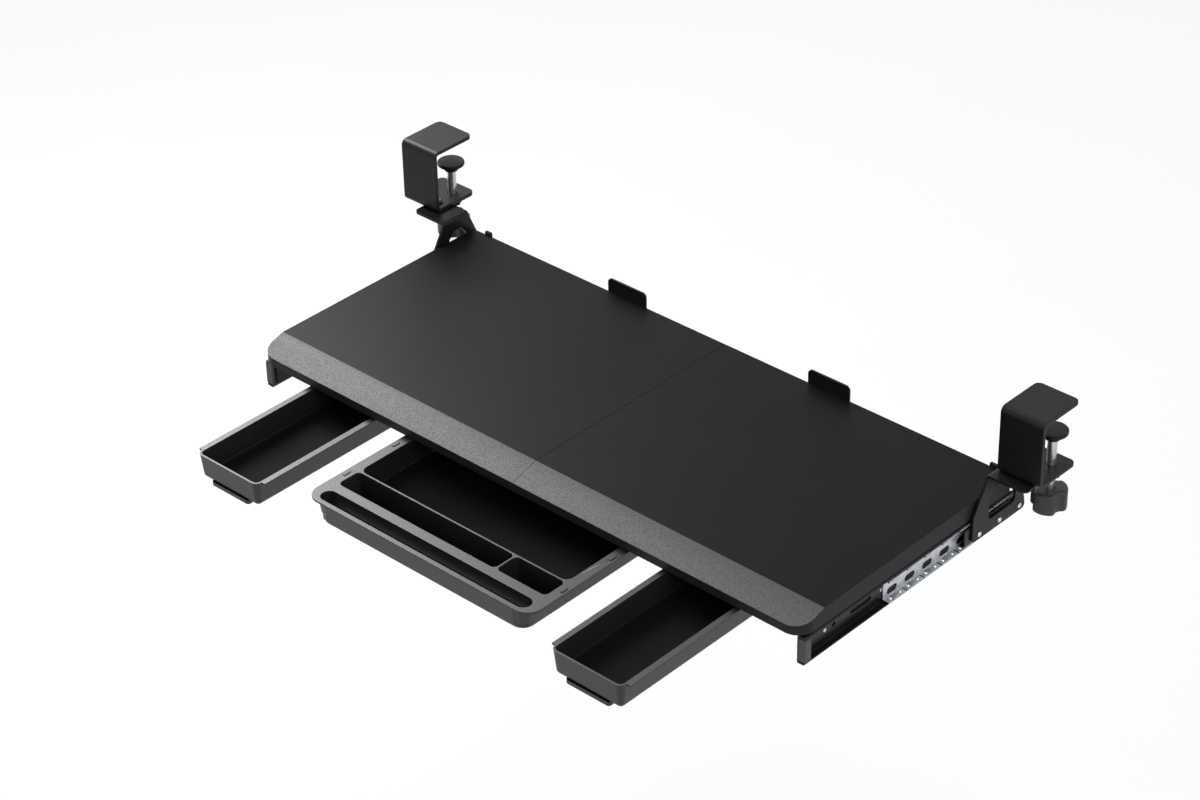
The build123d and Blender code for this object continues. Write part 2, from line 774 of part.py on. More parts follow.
outer_rail = make_drawer_rail(side_drawer_middle + side_drawer_width / 2, outer_web)
save_pair(outer_rail, "outer_rail")
with BuildPart() as inner_rail:
    mirror(outer_rail.part, about=Plane.YZ.offset(side_drawer_middle))
save_pair(inner_rail, "inner_rail")
save_pair(make_drawer_rail(centre_drawer_width / 2, centre_web), "centre_rail")

# Side drawers: one thin moulding each, with side flanges and a finger lip
drawer_foot = drawer_rim - drawer_height
side_drawer_centre = side_drawer_front + drawer_depth / 2
with BuildPart() as side_drawer:
    with BuildSketch(Plane.XY.offset(drawer_rim)):
        with Locations((side_drawer_middle, side_drawer_centre)):
            RectangleRounded(side_drawer_width, drawer_depth, side_drawer_corner)
    extrude(amount=-drawer_height, taper=drawer_draft)
    fillet(side_drawer.edges().group_by(Axis.Z)[0], radius=side_drawer_foot_round)
    with BuildSketch(Plane.XY.offset(drawer_rim)):
        with Locations((side_drawer_middle, side_drawer_centre)):
            RectangleRounded(
                side_drawer_width - drawer_wall * 2,
                drawer_depth - drawer_wall * 2,
                side_drawer_corner - drawer_wall,
            )
    extrude(amount=drawer_wall - drawer_height, taper=drawer_draft, mode=Mode.SUBTRACT)
    fillet(
        side_drawer.edges(Select.LAST).group_by(Axis.Z)[0],
        radius=side_drawer_foot_round - drawer_wall,
    )
    with BuildSketch(Plane.XY.offset(drawer_rim)):
        for turn in (-1, 1):
            with Locations((side_drawer_middle + turn * side_flange_middle, side_drawer_centre)):
                Rectangle(side_drawer_flange + drawer_wall / 2, drawer_depth - side_drawer_corner * 2)
    extrude(amount=-drawer_flange)
    with BuildSketch(Plane.XY.offset(drawer_foot + drawer_wall / 2)) as lip:
        with Locations((side_drawer_middle, side_drawer_front + finger_lip_setback)):
            Rectangle(
                side_drawer_width * finger_lip_share,
                finger_lip_length,
                align=(Align.CENTER, Align.MIN),
            )
        fillet(lip.vertices().group_by(Axis.Y)[0], radius=finger_lip_corner)
    extrude(amount=-drawer_wall / 2 - finger_lip_drop)
save(side_drawer, "drawer_right")
with BuildPart() as left_drawer:
    mirror(side_drawer.part, about=Plane.YZ)
save(left_drawer, "drawer_left")

# Centre drawer: a broad rim, a groove for pens, two bays and a large compartment
groove_middle = centre_drawer_front + pen_slot_front_band + pen_slot_width / 2
bay_front = centre_drawer_front + pen_slot_front_band + pen_slot_width + bay_front_band
compartment_front = bay_front + bay_length + drawer_wall
centre_rear = centre_drawer_front + drawer_depth
inner_side = centre_drawer_width / 2 - drawer_wall
core_side = inner_side - core_margin
detent_side = (centre_drawer_width + centre_drawer_flange) / 2
bay_divider_side = centre_drawer_width * bay_divider_share
bay_edges = (
    (-inner_side, bay_divider_side - drawer_wall / 2),
    (bay_divider_side + drawer_wall / 2, inner_side),
)
with BuildPart() as centre_drawer:
    with BuildSketch(Plane.XY.offset(drawer_rim)):
        with Locations((0, (centre_drawer_front + centre_body_setback + centre_rear) / 2)):
            RectangleRounded(
                centre_drawer_width,
                drawer_depth - centre_body_setback,
                centre_drawer_corner,
            )
    extrude(amount=-drawer_height, taper=drawer_draft)
    fillet(centre_drawer.edges().group_by(Axis.Z)[0], radius=centre_drawer_foot_round)
    with BuildSketch(Plane.XY.offset(drawer_rim)):
        with Locations((0, centre_drawer_front + drawer_depth / 2)):
            RectangleRounded(
                centre_drawer_width + centre_drawer_flange * 2,
                drawer_depth,
                centre_drawer_corner,
            )
    extrude(amount=-drawer_flange)
    with BuildSketch(Plane.XY.offset(drawer_rim)):
        with Locations((0, groove_middle)):
            SlotOverall(inner_side * 2, pen_slot_width)
    extrude(amount=-pen_slot_depth, taper=pocket_draft, mode=Mode.SUBTRACT)
    with BuildSketch(Plane.XY.offset(drawer_rim)):
        for low, high in bay_edges:
            with Locations(((low + high) / 2, bay_front + bay_length / 2)):
                RectangleRounded(high - low, bay_length, bay_corner)
        with Locations((0, (compartment_front + centre_rear - drawer_wall) / 2)):
            RectangleRounded(
                inner_side * 2,
                centre_rear - drawer_wall - compartment_front,
                compartment_corner,
            )
    extrude(amount=drawer_wall - drawer_height, taper=pocket_draft, mode=Mode.SUBTRACT)
    with BuildSketch(Plane.XY.offset(drawer_foot)):
        with Locations((0, bay_front - drawer_wall)):
            Rectangle(core_side * 2, core_length, align=(Align.CENTER, Align.MAX))
    extrude(amount=drawer_height - pen_slot_depth - drawer_wall, mode=Mode.SUBTRACT)
    with BuildSketch(Plane.XY.offset(drawer_foot)):
        with Locations((0, bay_front - drawer_wall)):
            Rectangle(core_side * 2, bay_front_band - drawer_wall * 2, align=(Align.CENTER, Align.MAX))
    extrude(amount=drawer_height - drawer_wall, mode=Mode.SUBTRACT)
    with BuildSketch(Plane.XY.offset(drawer_rim)):
        for turn in (-1, 1):
            for reach in detent_reaches:
                with Locations((turn * detent_side, centre_drawer_front + reach)):
                    SlotOverall(detent_length, detent_width, rotation=90)
    extrude(amount=detent_rise)
save(centre_drawer, "drawer_centre")

print("tray travel", tray_travel)
print("slide level", slide_level)
print("screw travel up", knob_top_drop, "down", -(screw_shoulder - lower_jaw_top))
print("side drawer travel", side_drawer_pull, "centre", centre_drawer_pull)
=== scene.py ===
import bmesh
import bpy
import json
import math
from mathutils import Matrix, Vector

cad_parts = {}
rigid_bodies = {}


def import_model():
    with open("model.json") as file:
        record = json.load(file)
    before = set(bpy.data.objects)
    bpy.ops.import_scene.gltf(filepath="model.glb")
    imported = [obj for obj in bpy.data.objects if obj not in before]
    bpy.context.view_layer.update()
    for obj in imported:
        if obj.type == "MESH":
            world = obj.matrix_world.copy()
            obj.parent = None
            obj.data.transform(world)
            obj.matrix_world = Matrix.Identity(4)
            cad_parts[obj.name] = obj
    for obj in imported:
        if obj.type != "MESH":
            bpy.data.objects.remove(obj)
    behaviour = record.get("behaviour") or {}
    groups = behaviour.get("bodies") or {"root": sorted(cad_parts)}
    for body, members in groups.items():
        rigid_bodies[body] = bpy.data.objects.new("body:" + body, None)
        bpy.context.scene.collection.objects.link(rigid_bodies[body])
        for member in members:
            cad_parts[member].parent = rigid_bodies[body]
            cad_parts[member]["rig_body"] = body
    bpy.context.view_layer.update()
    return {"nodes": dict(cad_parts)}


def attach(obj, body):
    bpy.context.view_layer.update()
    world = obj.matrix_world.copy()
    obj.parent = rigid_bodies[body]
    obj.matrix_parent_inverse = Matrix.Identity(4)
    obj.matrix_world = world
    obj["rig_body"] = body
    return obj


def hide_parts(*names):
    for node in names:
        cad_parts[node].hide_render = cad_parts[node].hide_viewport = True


# Clamp-on tray with three drawers, in metres, X right, Y to the rear, Z up
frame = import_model()
nodes = frame["nodes"]
scene = bpy.context.scene
mm = 0.001
sides = {"left": -1, "right": 1}
print("frame loaded:", len(nodes), "CAD nodes")


def fill(tree, node, inputs):  # an input takes a plain value, an output, or a node's first live output
    for label, value in inputs.items():
        if isinstance(value, bpy.types.Node):
            value = next(output for output in value.outputs if output.enabled)
        if isinstance(value, bpy.types.NodeSocket):
            tree.links.new(value, node.inputs[label])
        else:
            node.inputs[label].default_value = value
    return node


def addNode(tree, kind, inputs=None, **settings):
    node = tree.nodes.new(kind)
    for label, value in settings.items():
        setattr(node, label, value)
    return fill(tree, node, inputs or {})


def fromHex(text):  # sRGB hex to the linear colour that the shader wants
    parts = [int(text[i:i + 2], 16) / 255 for i in (1, 3, 5)]
    return tuple(c / 12.92 if c < 0.04045 else ((c + 0.055) / 1.055) ** 2.4 for c in parts) + (1,)


def newFinish(name):
    material = bpy.data.materials.new(name)
    material.use_nodes = True
    tree = material.node_tree
    where = addNode(tree, "ShaderNodeTexCoord").outputs["Object"]
    return material, tree, tree.nodes["Principled BSDF"], where


# Finishes: blobs of noise mostly lie between these two values, so patterns are read off that span
span = {"From Min": 0.3, "From Max": 0.7}
coats = {  # tones and roughness from low to high, grain across and deep in mm, level of gloss
    "powderCoatedSteel": {  # baked powder: satin, with a faint orange peel
        "tones": ("#111213", "#17181a"), "rough": (0.34, 0.44), "grain": 0.9, "depth": 0.016, "gloss": 0.16},
    "blackSlideSteel": {  # rolled strip under thin lacquer: the smoothest of the blacks
        "tones": ("#0c0d0e", "#141516"), "rough": (0.26, 0.38), "grain": 1.6, "depth": 0.006, "gloss": 0.3},
    "mouldedDrawerPlastic": {  # injection-moulded ABS from a finely spark-grained mould
        "tones": ("#141517", "#191a1c"), "rough": (0.36, 0.46), "grain": 0.42, "depth": 0.022, "gloss": 0.5},
    "drawerFloorPaintedShade": {  # the same moulding, toned darker as painted shade inside the drawers, with coarser grain that hardly shines
        "tones": ("#0d0e0f", "#101112"), "rough": (0.60, 0.72), "grain": 0.42, "depth": 0.03, "gloss": 0.04},
    "mouldedKnobPlastic": {  # moulded nylon: a dull dark grey with soft highlights
        "tones": ("#242527", "#2d2e30"), "rough": (0.44, 0.56), "grain": 0.6, "depth": 0.03, "gloss": 0.45},
    "mouldedBumperPlastic": {  # moulded end caps, a little lighter than the rails that they close
        "tones": ("#303133", "#38393b"), "rough": (0.40, 0.52), "grain": 0.5, "depth": 0.015, "gloss": 0.45},
    "softBlackRubber": {  # moulded rubber: deep black without a clear highlight
        "tones": ("#0c0c0d", "#141415"), "rough": (0.72, 0.86), "grain": 0.7, "depth": 0.02, "gloss": 0.3},
    "blackOxideSteel": {  # screws blackened in a bath: dark metal with an oily shine
        "tones": ("#0e0e0f", "#1a1a1c"), "rough": (0.28, 0.44), "grain": 0.35, "depth": 0.008, "gloss": 0.5},
}
coatPattern = {  # what all the black coats share; the specks are drawn coarse enough to show
    "cloud": 45, "speck": 3.1, "cloudShare": 0.65, "speckShare": 0.35, "band": (0.38, 0.62), "speckRise": 0.6,
}


def coatFinish(name, look, pattern):  # painted or moulded black, with grain and a faint cloudiness
    material, tree, shader, where = newFinish(name)
    cloud = addNode(tree, "ShaderNodeTexNoise", {
        "Vector": where, "Scale": 1 / (pattern["cloud"] * mm), "Detail": 3})
    grain = addNode(tree, "ShaderNodeTexNoise", {
        "Vector": where, "Scale": 1 / (look["grain"] * mm), "Detail": 2})
    speck = addNode(tree, "ShaderNodeTexNoise", {
        "Vector": where, "Scale": 1 / (look["grain"] * pattern["speck"] * mm), "Detail": 4})
    clouded = addNode(tree, "ShaderNodeMath", {0: cloud, 1: pattern["cloudShare"]}, operation="MULTIPLY")
    share = addNode(tree, "ShaderNodeMath", {
        0: speck, 1: pattern["speckShare"], 2: clouded}, operation="MULTIPLY_ADD")
    band = addNode(tree, "ShaderNodeMapRange", {
        "Value": share, "From Min": pattern["band"][0], "From Max": pattern["band"][1]})
    relief = addNode(tree, "ShaderNodeMath", {
        0: speck, 1: pattern["speckRise"], 2: grain}, operation="MULTIPLY_ADD")
    darkTone, lightTone = (fromHex(tone) for tone in look["tones"])
    low, high = look["rough"]
    fill(tree, shader, {
        "Base Color": addNode(tree, "ShaderNodeMix", {
            "Factor": band, "A": darkTone, "B": lightTone}, data_type="RGBA"),
        "Roughness": addNode(tree, "ShaderNodeMapRange", {
            "Value": speck, "To Min": low, "To Max": high, **span}),
        "Specular IOR Level": look["gloss"],
        "Normal": addNode(tree, "ShaderNodeBump", {"Height": relief, "Distance": look["depth"] * mm}),
    })
    return material


metals = {  # plain colour and tint, how metallic, roughness, marks across, their stretch and depth
    "zincPlatedCage": {  # bright zinc on rolled strip: pale blue grey, with marks along the strip
        "tones": ("#d3d8db", "#b9c1c7"), "metal": 0.62, "rough": (0.30, 0.48), "marks": 1.1,
        "stretch": (1, 0.12, 1), "depth": 0.004},
    "zincPlatedFastener": {  # bright zinc on turned steel, with fine marks round the axis
        "tones": ("#d6d9dc", "#bec2c7"), "metal": 0.9, "rough": (0.20, 0.34), "marks": 0.8,
        "stretch": (1, 1, 0.25), "depth": 0.003},
    "polishedBallSteel": {  # lapped bearing steel: a near mirror
        "tones": ("#d8dadd", "#cfd2d6"), "metal": 1.0, "rough": (0.06, 0.12), "marks": 2.0,
        "stretch": (1, 1, 1), "depth": 0.0005},
}
tarnishMm = 7


def metalFinish(name, look):  # bare or plated metal with rolling or turning marks
    material, tree, shader, where = newFinish(name)
    cloud = addNode(tree, "ShaderNodeTexNoise", {
        "Vector": where, "Scale": 1 / (tarnishMm * mm), "Detail": 3})
    drawn = addNode(tree, "ShaderNodeMapping", {"Vector": where, "Scale": look["stretch"]})
    marks = addNode(tree, "ShaderNodeTexNoise", {
        "Vector": drawn, "Scale": 1 / (look["marks"] * mm), "Detail": 5})
    share = addNode(tree, "ShaderNodeMapRange", {"Value": cloud, **span})
    plainTone, tintTone = (fromHex(tone) for tone in look["tones"])
    low, high = look["rough"]
    fill(tree, shader, {
        "Base Color": addNode(tree, "ShaderNodeMix", {
            "Factor": share, "A": plainTone, "B": tintTone}, data_type="RGBA"),
        "Roughness": addNode(tree, "ShaderNodeMapRange", {
            "Value": marks, "To Min": low, "To Max": high, **span}),
        "Metallic": look["metal"],
        "Normal": addNode(tree, "ShaderNodeBump", {"Height": marks, "Distance": look["depth"] * mm}),
    })
    return material


boardLook = {  # particle board in black film: a smooth even top; round its sides satin bands, paler partly as their own film and partly as painted light
    "top": ("#0d0e0f", "#101112"), "side": ("#242527", "#2b2c2e"), "under": "#131414", "rough": (0.38, 0.44),
    "cloud": 60, "fine": 0.35, "depth": 0.006, "gloss": 0.07,
    "underLevel": -0.1051, "underBlend": 0.0003, "flatFrom": 0.55, "flatTo": 0.8,
}


def boardFinish(look):
    material, tree, shader, where = newFinish("laminatedBoard")
    cloud = addNode(tree, "ShaderNodeTexNoise", {
        "Vector": where, "Scale": 1 / (look["cloud"] * mm), "Detail": 3})
    fine = addNode(tree, "ShaderNodeTexNoise", {
        "Vector": where, "Scale": 1 / (look["fine"] * mm), "Detail": 3})
    place = addNode(tree, "ShaderNodeSeparateXYZ", {"Vector": where})
    facing = addNode(tree, "ShaderNodeSeparateXYZ", {
        "Vector": addNode(tree, "ShaderNodeNewGeometry").outputs["Normal"]})
    above = addNode(tree, "ShaderNodeMapRange", {
        "Value": place.outputs["Z"], "From Min": look["underLevel"],
        "From Max": look["underLevel"] + look["underBlend"]})
    upright = addNode(tree, "ShaderNodeMath", {0: facing.outputs["Z"]}, operation="ABSOLUTE")
    level = addNode(tree, "ShaderNodeMapRange", {
        "Value": upright, "From Min": look["flatFrom"], "From Max": look["flatTo"]})
    topTones, sideTones = ([fromHex(tone) for tone in look[part]] for part in ("top", "side"))
    top = addNode(tree, "ShaderNodeMix", {
        "Factor": addNode(tree, "ShaderNodeMapRange", {"Value": cloud, **span}),
        "A": topTones[0], "B": topTones[1]}, data_type="RGBA")
    flat = addNode(tree, "ShaderNodeMix", {
        "Factor": above, "A": fromHex(look["under"]), "B": top}, data_type="RGBA")
    # upright faces take the paler side tones: partly the satin film's own tone, partly painted light
    side = addNode(tree, "ShaderNodeMix", {
        "Factor": addNode(tree, "ShaderNodeMapRange", {"Value": fine, **span}),
        "A": sideTones[0], "B": sideTones[1]}, data_type="RGBA")
    low, high = look["rough"]
    fill(tree, shader, {
        "Base Color": addNode(tree, "ShaderNodeMix", {
            "Factor": level, "A": side, "B": flat}, data_type="RGBA"),
        "Roughness": addNode(tree, "ShaderNodeMapRange", {
            "Value": fine, "To Min": low, "To Max": high, **span}),
        "Specular IOR Level": look["gloss"],
        "Normal": addNode(tree, "ShaderNodeBump", {"Height": fine, "Distance": look["depth"] * mm}),
    })
    return material


frontLook = {  # embossed film on the sloping front: pebbles, drawn coarser than real ones so that they show
    "tones": ("#17181a", "#37383c"), "rough": (0.62, 0.46), "pebble": 1.15, "pebbleRise": -1.2, "grain": 0.45,
    "depth": 0.07, "gloss": 0.55, "blend": 0.7, "band": (-0.3, 0.35), "frontEdge": -0.2392, "foot": -0.0972,
}


def frontFinish(look):
    material, tree, shader, where = newFinish("pebbledFrontFilm")
    cells = addNode(tree, "ShaderNodeTexVoronoi", {
        "Vector": where, "Scale": 1 / (look["pebble"] * mm), "Smoothness": look["blend"], "Randomness": 1.0},
        feature="SMOOTH_F1")
    grain = addNode(tree, "ShaderNodeTexNoise", {
        "Vector": where, "Scale": 1 / (look["grain"] * mm), "Detail": 3})
    pebble = addNode(tree, "ShaderNodeMath", {
        0: cells, 1: look["pebbleRise"], 2: grain}, operation="MULTIPLY_ADD")
    # the tone follows the pebbles' relief: grooves between them painted darker as shade, their tops painted
    # lighter
    share = addNode(tree, "ShaderNodeMapRange", {
        "Value": pebble, "From Min": look["band"][0], "From Max": look["band"][1]})
    darkTone, lightTone = (fromHex(tone) for tone in look["tones"])
    low, high = look["rough"]
    fill(tree, shader, {
        "Base Color": addNode(tree, "ShaderNodeMix", {
            "Factor": share, "A": darkTone, "B": lightTone}, data_type="RGBA"),
        "Roughness": addNode(tree, "ShaderNodeMapRange", {"Value": share, "To Min": low, "To Max": high}),
        "Specular IOR Level": look["gloss"],
        "Normal": addNode(tree, "ShaderNodeBump", {"Height": pebble, "Distance": look["depth"] * mm}),
    })
    return material


beechLook = {  # turned beech, for the dowels inside the board: pale, with long rays and short dark flecks
    "tones": ("#d2ab7c", "#b98e5e"), "fleck": "#8f6539", "rough": (0.55, 0.7), "ray": 2.2,
    "rayStretch": (0.08, 1, 1), "fleckSize": 0.6, "fleckStretch": (0.3, 1, 1), "fleckBand": (0.55, 0.75),
    "fleckMost": 0.35, "depth": 0.02,
}


def beechFinish(look):
    material, tree, shader, where = newFinish("turnedBeech")
    along = addNode(tree, "ShaderNodeMapping", {"Vector": where, "Scale": look["rayStretch"]})
    rays = addNode(tree, "ShaderNodeTexNoise", {
        "Vector": along, "Scale": 1 / (look["ray"] * mm), "Detail": 4})
    short = addNode(tree, "ShaderNodeMapping", {"Vector": where, "Scale": look["fleckStretch"]})
    flecks = addNode(tree, "ShaderNodeTexNoise", {
        "Vector": short, "Scale": 1 / (look["fleckSize"] * mm), "Detail": 2})
    paleTone, rayTone = (fromHex(tone) for tone in look["tones"])
    wood = addNode(tree, "ShaderNodeMix", {
        "Factor": addNode(tree, "ShaderNodeMapRange", {
            "Value": rays, **span}), "A": paleTone, "B": rayTone},
        data_type="RGBA")
    flecked = addNode(tree, "ShaderNodeMapRange", {
        "Value": flecks, "From Min": look["fleckBand"][0], "From Max": look["fleckBand"][1],
        "To Max": look["fleckMost"]})
    low, high = look["rough"]
    fill(tree, shader, {
        "Base Color": addNode(tree, "ShaderNodeMix", {
            "Factor": flecked, "A": wood, "B": fromHex(look["fleck"])}, data_type="RGBA"),
        "Roughness": addNode(tree, "ShaderNodeMapRange", {
            "Value": flecks, "To Min": low, "To Max": high, **span}),
        "Normal": addNode(tree, "ShaderNodeBump", {"Height": rays, "Distance": look["depth"] * mm}),
    })
    return material


finishes = {name: coatFinish(name, look, coatPattern) for name, look in coats.items()}
finishes.update({name: metalFinish(name, look) for name, look in metals.items()})
finishes["laminatedBoard"] = boardFinish(boardLook)
finishes["pebbledFrontFilm"] = frontFinish(frontLook)
finishes["turnedBeech"] = beechFinish(beechLook)
finishOfSlot = {
    "black_steel": "powderCoatedSteel", "board_laminate": "laminatedBoard",
    "drawer_plastic": "mouldedDrawerPlastic", "knob_plastic": "mouldedKnobPlastic",
    "zinc_steel": "zincPlatedCage", "dark_steel": "blackSlideSteel", "fastener_steel": "zincPlatedFastener",
    "black_fastener": "blackOxideSteel", "ball_steel": "polishedBallSteel",
    "bumper_plastic": "mouldedBumperPlastic", "black_rubber": "softBlackRubber", "beech": "turnedBeech",
}
slotOfNode = {}
bodyOfNode = {}
for name, piece in nodes.items():
    bodyOfNode[name] = piece["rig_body"]
    for slot in piece.material_slots:
        slotOfNode[name] = slot.material.name.split(".")[0]
        slot.material = finishes[finishOfSlot[slotOfNode[name]]]
print("finishes made:", len(finishes))


# Making pieces
def newObject(name, mesh):
    piece = bpy.data.objects.new(name, mesh)
    scene.collection.objects.link(piece)
    return piece


def baked(holder, name):  # the evaluated object as a plain mesh, its modifiers gone
    bpy.context.view_layer.update()
    graph = bpy.context.evaluated_depsgraph_get()
    mesh = bpy.data.meshes.new_from_object(holder.evaluated_get(graph), depsgraph=graph)
    bpy.data.objects.remove(holder)
    mesh.name = name
    return mesh


def settle(name, mesh, node, angle=30):  # a finished mesh takes the place of a CAD node
    slot = slotOfNode[node]
    mesh.materials.clear()
    mesh.materials.append(finishes[finishOfSlot[slot]])
    mesh.shade_smooth()
    mesh.set_sharp_from_angle(angle=math.radians(angle))
    piece = newObject(name, mesh)
    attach(piece, bodyOfNode[node])
    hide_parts(node)
    return piece


softening = {  # merging in mm, angles in degrees, segments of a broken edge, and how even its normals are
    "merge": 0.002, "flatAngle": 0.25, "edgeAngle": 32, "sharpAngle": 40, "rounds": 2, "evenness": 80,
}


def cleanCopy(node, added):  # the CAD node's triangles merged, and flat faces made whole
    shell = bmesh.new()
    shell.from_mesh(nodes[node].data)
    bmesh.ops.remove_doubles(shell, verts=shell.verts, dist=softening["merge"] * mm)
    for wall in added:
        shell.from_mesh(wall.data)
        bpy.data.objects.remove(wall)
    flat = math.radians(softening["flatAngle"])
    bmesh.ops.dissolve_limit(shell, angle_limit=flat, verts=shell.verts, edges=shell.edges)
    shell.verts.index_update()
    corners = [v.co.copy() for v in shell.verts]
    faces = [[v.index for v in face.verts] for face in shell.faces]
    shell.free()
    mesh = bpy.data.meshes.new(node + "Copy")
    mesh.from_pydata(corners, [], faces)
    return mesh


def roundedLoop(corners, radius, steps):  # a closed outline in mm with its corners rounded
    points = []
    for i, corner in enumerate(corners):
        here = Vector(corner)
        before, after = Vector(corners[i - 1]), Vector(corners[(i + 1) % len(corners)])
        back, on = (before - here).normalized(), (after - here).normalized()
        half = back.angle(on) / 2
        middle = here + (back + on).normalized() * radius / math.sin(half)
        start = here + back * radius / math.tan(half) - middle
        end = here + on * radius / math.tan(half) - middle
        turn = start.angle_signed(end)
        points += [tuple(middle + Matrix.Rotation(-turn * k / steps, 2) @ start) for k in range(steps + 1)]
    return points


def prismX(name, outline, low, high):  # an outline in Y and Z, in mm, drawn out along X
    n = len(outline)
    corners = [Vector((x, y, z)) * mm for x in (low, high) for y, z in outline]
    belt = [(i, (i + 1) % n, n + (i + 1) % n, n + i) for i in range(n)]
    shell = bmesh.new()
    made = [shell.verts.new(c) for c in corners]
    for loop in belt + [tuple(range(n)), tuple(range(n, 2 * n))]:
        shell.faces.new([made[k] for k in loop])
    bmesh.ops.recalc_face_normals(shell, faces=shell.faces)
    mesh = bpy.data.meshes.new(name)
    shell.to_mesh(mesh)
    shell.free()
    return newObject(name, mesh)


def carve(mesh, name, cutter):  # takes the cutter's shape out of a mesh
    holder = newObject(name + "Solid", mesh)
    cut = holder.modifiers.new("cut", "BOOLEAN")
    cut.operation = "DIFFERENCE"
    cut.solver = "EXACT"
    cut.object = cutter
    result = baked(holder, name)
    bpy.data.objects.remove(cutter)
    return result


def weighEdges(mesh, lowestMm):  # outer edges above a level are the ones to break
    sharp = math.radians(softening["edgeAngle"])
    shell = bmesh.new()
    shell.from_mesh(mesh)
    weight = shell.edges.layers.float.new("bevel_weight_edge")
    for edge in shell.edges:
        outer = len(edge.link_faces) == 2 and edge.is_convex and edge.calc_face_angle() > sharp
        edge[weight] = float(outer and min(v.co.z for v in edge.verts) > lowestMm * mm)
    shell.to_mesh(mesh)
    shell.free()


def soften(node, name, edgeMm, cutter=None, added=(), lowestMm=None):  # a CAD node, its sharp edges broken
    mesh = cleanCopy(node, added)
    if cutter is not None:
        mesh = carve(mesh, name, cutter)
    if lowestMm is not None:
        weighEdges(mesh, lowestMm)
    holder = newObject(name + "Base", mesh)
    edges = holder.modifiers.new("edges", "BEVEL")
    edges.width = edgeMm * mm
    edges.segments = softening["rounds"]
    edges.limit_method = "ANGLE" if lowestMm is None else "WEIGHT"
    edges.angle_limit = math.radians(softening["edgeAngle"])
    edges.use_clamp_overlap = True
    mesh = baked(holder, name)
    mesh.shade_smooth()
    mesh.set_sharp_from_angle(angle=math.radians(softening["sharpAngle"]))
    holder = newObject(name + "Rounded", mesh)
    even = holder.modifiers.new("normals", "WEIGHTED_NORMAL")
    even.weight = softening["evenness"]
    even.keep_sharp = True
    return settle(name, baked(holder, name), node, angle=softening["sharpAngle"])


softEdges = {  # how far each piece's edges are broken, in mm
    "clamp": 0.7, "bracket": 0.4, "stop_plate": 0.45, "board": 0.7, "pad": 0.3, "knob": 0.5, "buffer": 0.5,
    "end_cap": 0.4, "fixed_slide": 0.12, "tray_slide": 0.12, "rail_angle": 0.2, "outer_rail": 0.2,
    "inner_rail": 0.2, "centre_rail": 0.2,
}
pieceNames = {
    "clamp": "clampStrip", "bracket": "foldedBracket", "stop_plate": "stopPlate", "board": "boardHalf",
    "pad": "pressurePad", "knob": "lobedKnob", "buffer": "rearBuffer", "end_cap": "endCap",
    "fixed_slide": "fixedSlide", "tray_slide": "trayRail", "rail_angle": "railAngle",
    "outer_rail": "outerDrawerRail", "inner_rail": "innerDrawerRail", "centre_rail": "centreDrawerRail",
}
bracketWindow = {  # upper part of the bracket's opening, between its two legs; corners in Y and Z
    "corners": [(-10.6, -104), (-10.6, -94), (-1.5, -79.5), (9.5, -79.5), (20.5, -92.5), (20.5, -104)],
    "radius": 2.5, "cornerSteps": 5, "low": 341.0, "high": 345.2,
}
smallParts = {  # new name, and how far the edges are broken in mm
    "clamp_bolts": ("clampBolts", 0.2), "clamp_nuts": ("clampNuts", 0.3), "weld_nuts": ("weldNuts", 0.4),
}
facingUp = 0.5  # a face whose normal rises more than this counts as facing up


def windowCutter(look, sign):
    ends = sorted((sign * look["low"], sign * look["high"]))
    return prismX("windowCutter", roundedLoop(look["corners"], look["radius"], look["cornerSteps"]), *ends)


for side, sign in sides.items():
    for kind, width in softEdges.items():
        cutter = windowCutter(bracketWindow, sign) if kind == "bracket" else None
        soften(f"{kind}_{side}", pieceNames[kind] + side.title(), width, cutter=cutter)
    board = bpy.data.objects["boardHalf" + side.title()]
    board.data.materials.append(finishes["pebbledFrontFilm"])
    for face in board.data.polygons:  # the sloping front takes the embossed film
        slopes = face.normal.z > facingUp and face.center.y < frontLook["frontEdge"]
        if slopes and face.center.z > frontLook["foot"]:
            face.material_index = 1
for node, (name, width) in smallParts.items():
    soften(node, name, width)
drawerLook = {  # edge and levels in mm
    "edge": 0.35, "rim": -107.1, "floor": -115.0,
    "names": {"drawer_left": "drawerLeft", "drawer_centre": "drawerCentre", "drawer_right": "drawerRight"},
}
cornerWall = {  # closes the moulding's wall outside each end of its groove; mm, degrees, levels with swelling
    "corner": (116.6, -379.0), "cornerRadius": 16.0, "cornerDraft": 6, "grooveEnd": (122.6, -384.0),
    "grooveRadius": 8.0, "grooveDraft": 3, "rim": -107.0, "inset": 0.4, "overlap": 0.1,
    "levels": ((-108.5, 1.6), (-122.0, 1.6), (-130.0, -0.8)), "first": -75, "last": -5, "steps": 16,
}


def wallPiece(look, sign):
    shares = [k / look["steps"] for k in range(look["steps"] + 1)]
    corners = []
    for level, swell in look["levels"]:
        depth = look["rim"] - level
        inset = look["inset"]
        outer = look["cornerRadius"] - depth * math.tan(math.radians(look["cornerDraft"])) - inset
        inner = look["grooveRadius"] - depth * math.tan(math.radians(look["grooveDraft"])) + inset
        far = [(look["corner"], t, outer + (swell + inset) * math.sin(math.pi * t)) for t in shares]
        near = [(look["grooveEnd"], t, inner - (inset + look["overlap"]) * math.sin(math.pi * t))
                for t in reversed(shares)]
        for (x, y), t, r in far + near:
            a = math.radians(look["first"] + (look["last"] - look["first"]) * t)
            corners.append(Vector((sign * (x + r * math.cos(a)), y + r * math.sin(a), level)) * mm)
    n = len(shares) * 2
    shell = bmesh.new()
    made = [shell.verts.new(c) for c in corners]
    shell.faces.new(made[:n])
    shell.faces.new(made[-n:])
    for low in range(0, len(made) - n, n):
        for i in range(n):
            j = (i + 1) % n
            shell.faces.new([made[low + i], made[low + j], made[low + n + j], made[low + n + i]])
    bmesh.ops.recalc_face_normals(shell, faces=shell.faces)
    mesh = bpy.data.meshes.new("wallPiece")
    shell.to_mesh(mesh)
    shell.free()
    return newObject("wallPiece", mesh)


